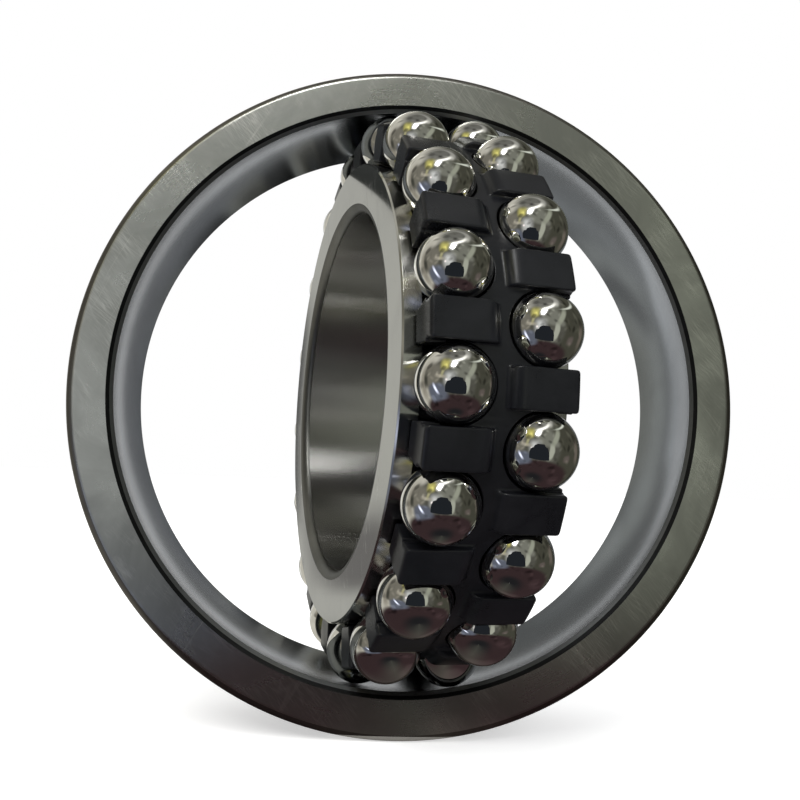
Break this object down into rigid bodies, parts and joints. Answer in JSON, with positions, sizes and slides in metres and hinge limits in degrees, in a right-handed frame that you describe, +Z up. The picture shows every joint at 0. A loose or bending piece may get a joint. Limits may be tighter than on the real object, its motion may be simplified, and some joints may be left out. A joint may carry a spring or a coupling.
{
  "type": "self-aligning ball bearing",
  "caption": "Self-aligning ball bearing with its inner ring, cage and balls swivelled out of the outer ring's spherical raceway.",
  "frame": {"origin": "centre of the bearing, where the axes of both rings cross the middle of their width", "axes": "+Y along the outer ring's axis and away from the viewer, +Z up along the swivel axis, +X to the right"},
  "size_m": [0.09, 0.0798, 0.09],
  "materials": {
    "outer_ring_steel": "ground satin",
    "inner_ring_steel": "fine ground",
    "ball_steel": "mirror polished",
    "cage_plastic": "satin moulded"
  },
  "bodies": {
    "outer_ring": {"outer_ring": "outer_ring_steel"},
    "cage": {"cage": "cage_plastic"},
    "inner_ring": {"inner_ring": "inner_ring_steel"},
    "left_ball_01": {"left_ball_01": "ball_steel"},
    "left_ball_02": {"left_ball_02": "ball_steel"},
    "left_ball_03": {"left_ball_03": "ball_steel"},
    "left_ball_04": {"left_ball_04": "ball_steel"},
    "left_ball_05": {"left_ball_05": "ball_steel"},
    "left_ball_06": {"left_ball_06": "ball_steel"},
    "left_ball_07": {"left_ball_07": "ball_steel"},
    "left_ball_08": {"left_ball_08": "ball_steel"},
    "left_ball_09": {"left_ball_09": "ball_steel"},
    "left_ball_10": {"left_ball_10": "ball_steel"},
    "left_ball_11": {"left_ball_11": "ball_steel"},
    "left_ball_12": {"left_ball_12": "ball_steel"},
    "left_ball_13": {"left_ball_13": "ball_steel"},
    "left_ball_14": {"left_ball_14": "ball_steel"},
    "left_ball_15": {"left_ball_15": "ball_steel"},
    "left_ball_16": {"left_ball_16": "ball_steel"},
    "left_ball_17": {"left_ball_17": "ball_steel"},
    "right_ball_01": {"right_ball_01": "ball_steel"},
    "right_ball_02": {"right_ball_02": "ball_steel"},
    "right_ball_03": {"right_ball_03": "ball_steel"},
    "right_ball_04": {"right_ball_04": "ball_steel"},
    "right_ball_05": {"right_ball_05": "ball_steel"},
    "right_ball_06": {"right_ball_06": "ball_steel"},
    "right_ball_07": {"right_ball_07": "ball_steel"},
    "right_ball_08": {"right_ball_08": "ball_steel"},
    "right_ball_09": {"right_ball_09": "ball_steel"},
    "right_ball_10": {"right_ball_10": "ball_steel"},
    "right_ball_11": {"right_ball_11": "ball_steel"},
    "right_ball_12": {"right_ball_12": "ball_steel"},
    "right_ball_13": {"right_ball_13": "ball_steel"},
    "right_ball_14": {"right_ball_14": "ball_steel"},
    "right_ball_15": {"right_ball_15": "ball_steel"},
    "right_ball_16": {"right_ball_16": "ball_steel"},
    "right_ball_17": {"right_ball_17": "ball_steel"}
  },
  "joints": [
    {"name": "swivel", "type": "hinge", "parent": "outer_ring", "child": "cage", "pos_m": [0, 0, 0], "axis": [0, 0, 1], "continuous": true},
    {"name": "inner_spin", "type": "hinge", "parent": "cage", "child": "inner_ring", "pos_m": [0, 0, 0], "axis": [-0.981, -0.1942, 0], "continuous": true},
    {"name": "left_ball_01_roll", "type": "hinge", "parent": "cage", "child": "left_ball_01", "pos_m": [0.00184, -0.03556, -0.00209], "axis": [-0.9986, -0.0522, 0.0085], "continuous": true},
    {"name": "left_ball_02_roll", "type": "hinge", "parent": "cage", "child": "left_ball_02", "pos_m": [0.00153, -0.03396, 0.01078], "axis": [-0.9973, -0.0587, -0.0437], "continuous": true},
    {"name": "left_ball_03_roll", "type": "hinge", "parent": "cage", "child": "left_ball_03", "pos_m": [0.00033, -0.02792, 0.02219], "axis": [-0.9925, -0.0832, -0.0899], "continuous": true},
    {"name": "left_ball_04_roll", "type": "hinge", "parent": "cage", "child": "left_ball_04", "pos_m": [-0.00159, -0.01824, 0.03061], "axis": [-0.9847, -0.1224, -0.124], "continuous": true},
    {"name": "left_ball_05_roll", "type": "hinge", "parent": "cage", "child": "left_ball_05", "pos_m": [-0.00397, -0.00622, 0.03489], "axis": [-0.9751, -0.171, -0.1414], "continuous": true},
    {"name": "left_ball_06_roll", "type": "hinge", "parent": "cage", "child": "left_ball_06", "pos_m": [-0.00648, 0.00649, 0.03446], "axis": [-0.9649, -0.2226, -0.1396], "continuous": true},
    {"name": "left_ball_07_roll", "type": "hinge", "parent": "cage", "child": "left_ball_07", "pos_m": [-0.0088, 0.0182, 0.02938], "axis": [-0.9555, -0.27, -0.119], "continuous": true},
    {"name": "left_ball_08_roll", "type": "hinge", "parent": "cage", "child": "left_ball_08", "pos_m": [-0.01061, 0.02732, 0.02033], "axis": [-0.9482, -0.3069, -0.0824], "continuous": true},
    {"name": "left_ball_09_roll", "type": "hinge", "parent": "cage", "child": "left_ball_09", "pos_m": [-0.01166, 0.03261, 0.00853], "axis": [-0.9439, -0.3284, -0.0346], "continuous": true},
    {"name": "left_ball_10_roll", "type": "hinge", "parent": "cage", "child": "left_ball_10", "pos_m": [-0.01181, 0.03336, -0.00442], "axis": [-0.9433, -0.3314, 0.0179], "continuous": true},
    {"name": "left_ball_11_roll", "type": "hinge", "parent": "cage", "child": "left_ball_11", "pos_m": [-0.01104, 0.02948, -0.01677], "axis": [-0.9464, -0.3157, 0.0679], "continuous": true},
    {"name": "left_ball_12_roll", "type": "hinge", "parent": "cage", "child": "left_ball_12", "pos_m": [-0.00945, 0.02148, -0.02686], "axis": [-0.9529, -0.2833, 0.1088], "continuous": true},
    {"name": "left_ball_13_roll", "type": "hinge", "parent": "cage", "child": "left_ball_13", "pos_m": [-0.00727, 0.01044, -0.03332], "axis": [-0.9617, -0.2386, 0.135], "continuous": true},
    {"name": "left_ball_14_roll", "type": "hinge", "parent": "cage", "child": "left_ball_14", "pos_m": [-0.00478, -0.00214, -0.03528], "axis": [-0.9718, -0.1876, 0.1429], "continuous": true},
    {"name": "left_ball_15_roll", "type": "hinge", "parent": "cage", "child": "left_ball_15", "pos_m": [-0.00232, -0.01456, -0.03247], "axis": [-0.9818, -0.1373, 0.1316], "continuous": true},
    {"name": "left_ball_16_roll", "type": "hinge", "parent": "cage", "child": "left_ball_16", "pos_m": [-0.00022, -0.02515, -0.02529], "axis": [-0.9903, -0.0944, 0.1024], "continuous": true},
    {"name": "left_ball_17_roll", "type": "hinge", "parent": "cage", "child": "left_ball_17", "pos_m": [0.00123, -0.03248, -0.01468], "axis": [-0.9961, -0.0647, 0.0595], "continuous": true},
    {"name": "right_ball_01_roll", "type": "hinge", "parent": "cage", "child": "right_ball_01", "pos_m": [0.01181, -0.03336, 0.00442], "axis": [-0.9433, -0.3314, 0.0179], "continuous": true},
    {"name": "right_ball_02_roll", "type": "hinge", "parent": "cage", "child": "right_ball_02", "pos_m": [0.01104, -0.02948, 0.01677], "axis": [-0.9464, -0.3157, 0.0679], "continuous": true},
    {"name": "right_ball_03_roll", "type": "hinge", "parent": "cage", "child": "right_ball_03", "pos_m": [0.00945, -0.02148, 0.02686], "axis": [-0.9529, -0.2833, 0.1088], "continuous": true},
    {"name": "right_ball_04_roll", "type": "hinge", "parent": "cage", "child": "right_ball_04", "pos_m": [0.00727, -0.01044, 0.03332], "axis": [-0.9617, -0.2386, 0.135], "continuous": true},
    {"name": "right_ball_05_roll", "type": "hinge", "parent": "cage", "child": "right_ball_05", "pos_m": [0.00478, 0.00214, 0.03528], "axis": [-0.9718, -0.1876, 0.1429], "continuous": true},
    {"name": "right_ball_06_roll", "type": "hinge", "parent": "cage", "child": "right_ball_06", "pos_m": [0.00232, 0.01456, 0.03247], "axis": [-0.9818, -0.1373, 0.1316], "continuous": true},
    {"name": "right_ball_07_roll", "type": "hinge", "parent": "cage", "child": "right_ball_07", "pos_m": [0.00022, 0.02515, 0.02529], "axis": [-0.9903, -0.0944, 0.1024], "continuous": true},
    {"name": "right_ball_08_roll", "type": "hinge", "parent": "cage", "child": "right_ball_08", "pos_m": [-0.00123, 0.03248, 0.01468], "axis": [-0.9961, -0.0647, 0.0595], "continuous": true},
    {"name": "right_ball_09_roll", "type": "hinge", "parent": "cage", "child": "right_ball_09", "pos_m": [-0.00184, 0.03556, 0.00209], "axis": [-0.9986, -0.0522, 0.0085], "continuous": true},
    {"name": "right_ball_10_roll", "type": "hinge", "parent": "cage", "child": "right_ball_10", "pos_m": [-0.00153, 0.03396, -0.01078], "axis": [-0.9973, -0.0587, -0.0437], "continuous": true},
    {"name": "right_ball_11_roll", "type": "hinge", "parent": "cage", "child": "right_ball_11", "pos_m": [-0.00033, 0.02792, -0.02219], "axis": [-0.9925, -0.0832, -0.0899], "continuous": true},
    {"name": "right_ball_12_roll", "type": "hinge", "parent": "cage", "child": "right_ball_12", "pos_m": [0.00159, 0.01824, -0.03061], "axis": [-0.9847, -0.1224, -0.124], "continuous": true},
    {"name": "right_ball_13_roll", "type": "hinge", "parent": "cage", "child": "right_ball_13", "pos_m": [0.00397, 0.00622, -0.03489], "axis": [-0.9751, -0.171, -0.1414], "continuous": true},
    {"name": "right_ball_14_roll", "type": "hinge", "parent": "cage", "child": "right_ball_14", "pos_m": [0.00648, -0.00649, -0.03446], "axis": [-0.9649, -0.2226, -0.1396], "continuous": true},
    {"name": "right_ball_15_roll", "type": "hinge", "parent": "cage", "child": "right_ball_15", "pos_m": [0.0088, -0.0182, -0.02938], "axis": [-0.9555, -0.27, -0.119], "continuous": true},
    {"name": "right_ball_16_roll", "type": "hinge", "parent": "cage", "child": "right_ball_16", "pos_m": [0.01061, -0.02732, -0.02033], "axis": [-0.9482, -0.3069, -0.0824], "continuous": true},
    {"name": "right_ball_17_roll", "type": "hinge", "parent": "cage", "child": "right_ball_17", "pos_m": [0.01166, -0.03261, -0.00853], "axis": [-0.9439, -0.3284, -0.0346], "continuous": true}
  ],
  "couplings": [
    {"joint": "left_ball_01_roll", "follows": "inner_spin", "ratio": -7.0959},
    {"joint": "left_ball_02_roll", "follows": "inner_spin", "ratio": -7.0959},
    {"joint": "left_ball_03_roll", "follows": "inner_spin", "ratio": -7.0959},
    {"joint": "left_ball_04_roll", "follows": "inner_spin", "ratio": -7.0959},
    {"joint": "left_ball_05_roll", "follows": "inner_spin", "ratio": -7.0959},
    {"joint": "left_ball_06_roll", "follows": "inner_spin", "ratio": -7.0959},
    {"joint": "left_ball_07_roll", "follows": "inner_spin", "ratio": -7.0959},
    {"joint": "left_ball_08_roll", "follows": "inner_spin", "ratio": -7.0959},
    {"joint": "left_ball_09_roll", "follows": "inner_spin", "ratio": -7.0959},
    {"joint": "left_ball_10_roll", "follows": "inner_spin", "ratio": -7.0959},
    {"joint": "left_ball_11_roll", "follows": "inner_spin", "ratio": -7.0959},
    {"joint": "left_ball_12_roll", "follows": "inner_spin", "ratio": -7.0959},
    {"joint": "left_ball_13_roll", "follows": "inner_spin", "ratio": -7.0959},
    {"joint": "left_ball_14_roll", "follows": "inner_spin", "ratio": -7.0959},
    {"joint": "left_ball_15_roll", "follows": "inner_spin", "ratio": -7.0959},
    {"joint": "left_ball_16_roll", "follows": "inner_spin", "ratio": -7.0959},
    {"joint": "left_ball_17_roll", "follows": "inner_spin", "ratio": -7.0959},
    {"joint": "right_ball_01_roll", "follows": "inner_spin", "ratio": -7.0959},
    {"joint": "right_ball_02_roll", "follows": "inner_spin", "ratio": -7.0959},
    {"joint": "right_ball_03_roll", "follows": "inner_spin", "ratio": -7.0959},
    {"joint": "right_ball_04_roll", "follows": "inner_spin", "ratio": -7.0959},
    {"joint": "right_ball_05_roll", "follows": "inner_spin", "ratio": -7.0959},
    {"joint": "right_ball_06_roll", "follows": "inner_spin", "ratio": -7.0959},
    {"joint": "right_ball_07_roll", "follows": "inner_spin", "ratio": -7.0959},
    {"joint": "right_ball_08_roll", "follows": "inner_spin", "ratio": -7.0959},
    {"joint": "right_ball_09_roll", "follows": "inner_spin", "ratio": -7.0959},
    {"joint": "right_ball_10_roll", "follows": "inner_spin", "ratio": -7.0959},
    {"joint": "right_ball_11_roll", "follows": "inner_spin", "ratio": -7.0959},
    {"joint": "right_ball_12_roll", "follows": "inner_spin", "ratio": -7.0959},
    {"joint": "right_ball_13_roll", "follows": "inner_spin", "ratio": -7.0959},
    {"joint": "right_ball_14_roll", "follows": "inner_spin", "ratio": -7.0959},
    {"joint": "right_ball_15_roll", "follows": "inner_spin", "ratio": -7.0959},
    {"joint": "right_ball_16_roll", "follows": "inner_spin", "ratio": -7.0959},
    {"joint": "right_ball_17_roll", "follows": "inner_spin", "ratio": -7.0959}
  ]
}
